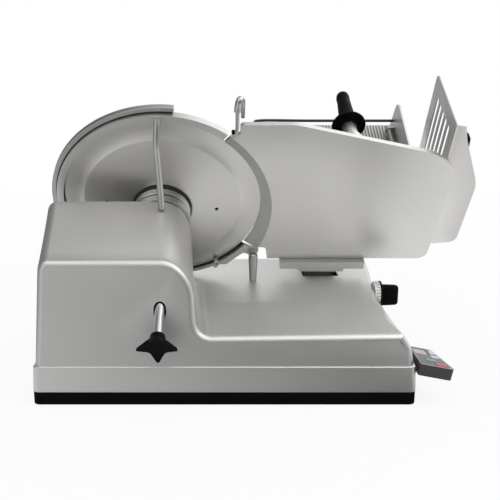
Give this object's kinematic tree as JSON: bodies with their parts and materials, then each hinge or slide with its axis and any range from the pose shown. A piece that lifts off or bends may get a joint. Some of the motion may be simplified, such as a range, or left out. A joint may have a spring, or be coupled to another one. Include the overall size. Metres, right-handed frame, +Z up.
{
  "type": "food slicer",
  "caption": "Gravity-feed food slicer: round tilted blade on a cast motor hump, thickness gauge plate, sliding ribbed carriage with food pusher and hand guard, end dial and keypad.",
  "frame": {"origin": "middle of the machine's overall footprint, on the table under the feet", "axes": "+X along the base towards the dial and keypad end, +Y from the slice deck's front to the food side, +Z up"},
  "size_m": [0.6472, 0.5166, 0.4377],
  "materials": {
    "cast_aluminium": "satin blasted casting",
    "plate_aluminium": "anodised, fine satin",
    "blade_steel": "ground and polished",
    "machine_steel": "turned, plain",
    "chrome": "polished chrome",
    "black_plastic": "moulded, fine texture",
    "rubber": "matt",
    "dark_plastic": "moulded, satin",
    "white_plastic": "satin",
    "grey_key": "satin",
    "green_key": "satin",
    "red_key": "satin",
    "display": "smooth window",
    "circuit_board": "lacquered",
    "motor_core": "laminated core and windings"
  },
  "bodies": {
    "base": {"base_housing": "cast_aluminium", "base_plinth": "black_plastic", "foot_front_left": "rubber", "foot_front_right": "rubber", "foot_rear_left": "rubber", "foot_rear_right": "rubber", "cord_gland": "black_plastic", "control_board": "circuit_board", "motor_stator": "motor_core", "drive_belt": "rubber", "bearing_housing": "cast_aluminium", "spindle_bearing_front": "machine_steel", "spindle_bearing_rear": "machine_steel", "blade_cover": "plate_aluminium", "guard_ring": "cast_aluminium", "guard_band": "cast_aluminium", "guard_strut": "machine_steel", "guard_post": "machine_steel", "guard_hook": "machine_steel", "gauge_guide_rod": "machine_steel", "gauge_guide": "cast_aluminium", "panel_housing": "dark_plastic", "panel_display": "display", "guide_rod_lower": "chrome", "guide_rod_upper": "chrome", "rail_support_left": "cast_aluminium", "rail_support_right": "cast_aluminium"},
    "blade": {"blade": "blade_steel", "blade_hub": "plate_aluminium", "blade_bolt_1": "machine_steel", "blade_bolt_2": "machine_steel", "blade_bolt_3": "machine_steel", "spindle": "machine_steel", "blade_pulley": "plate_aluminium"},
    "motor": {"motor_rotor": "motor_core", "motor_pulley": "machine_steel"},
    "tie_rod": {"tie_rod": "chrome", "star_knob": "black_plastic"},
    "gauge": {"gauge_plate": "plate_aluminium", "gauge_bracket": "cast_aluminium"},
    "dial": {"dial_knob": "black_plastic", "dial_scale": "white_plastic", "dial_shaft": "machine_steel", "gauge_cam": "machine_steel"},
    "carriage": {"carriage_floor": "plate_aluminium", "carriage_fence": "plate_aluminium", "carriage_rear_bar": "machine_steel", "hand_guard": "machine_steel", "handle_mount": "cast_aluminium", "carriage_handle": "black_plastic", "carriage_arm": "cast_aluminium", "pusher_rod": "machine_steel"},
    "pusher": {"pusher_plate": "machine_steel", "pusher_sleeve": "plate_aluminium", "pusher_disc": "black_plastic", "pusher_grip": "black_plastic"},
    "key_up": {"key_up": "grey_key"},
    "key_down": {"key_down": "grey_key"},
    "key_start": {"key_start": "green_key"},
    "key_stop": {"key_stop": "red_key"}
  },
  "joints": [
    {"name": "blade_spin", "type": "hinge", "parent": "base", "child": "blade", "pos_m": [-0.15556, -0.01371, 0.247], "axis": [0, 0.8434, 0.5373], "continuous": true},
    {"name": "motor_spin", "type": "hinge", "parent": "base", "child": "motor", "pos_m": [-0.24356, -0.07011, 0.14941], "axis": [0, 0.8434, 0.5373], "continuous": true},
    {"name": "tie_rod_turn", "type": "hinge", "parent": "base", "child": "tie_rod", "pos_m": [-0.14806, -0.23084, 0.10393], "axis": [0, 0.8434, 0.5373], "range_deg": [0, 720]},
    {"name": "gauge_slide", "type": "slide", "parent": "base", "child": "gauge", "axis": [0, -0.8434, -0.5373], "range_m": [0, 0.015]},
    {"name": "dial_turn", "type": "hinge", "parent": "base", "child": "dial", "pos_m": [0.18844, -0.00171, 0.1], "axis": [1, 0, 0], "range_deg": [0, 300]},
    {"name": "carriage_slide", "type": "slide", "parent": "base", "child": "carriage", "axis": [-1, 0, 0], "range_m": [0, 0.27]},
    {"name": "pusher_slide", "type": "slide", "parent": "carriage", "child": "pusher", "axis": [0, -0.8434, -0.5373], "range_m": [-0.1, 0.042]},
    {"name": "key_up_press", "type": "slide", "parent": "base", "child": "key_up", "axis": [-0.1908, 0, -0.9816], "range_m": [0, 0.001], "stiffness_N_per_m": 600},
    {"name": "key_down_press", "type": "slide", "parent": "base", "child": "key_down", "axis": [-0.1908, 0, -0.9816], "range_m": [0, 0.001], "stiffness_N_per_m": 600},
    {"name": "key_start_press", "type": "slide", "parent": "base", "child": "key_start", "axis": [-0.1908, 0, -0.9816], "range_m": [0, 0.001], "stiffness_N_per_m": 600},
    {"name": "key_stop_press", "type": "slide", "parent": "base", "child": "key_stop", "axis": [-0.1908, 0, -0.9816], "range_m": [0, 0.001], "stiffness_N_per_m": 600}
  ],
  "couplings": [
    {"joint": "motor_spin", "follows": "blade_spin", "ratio": 2.4615},
    {"joint": "dial_turn", "follows": "gauge_slide", "rad_per_m": 349.07}
  ]
}
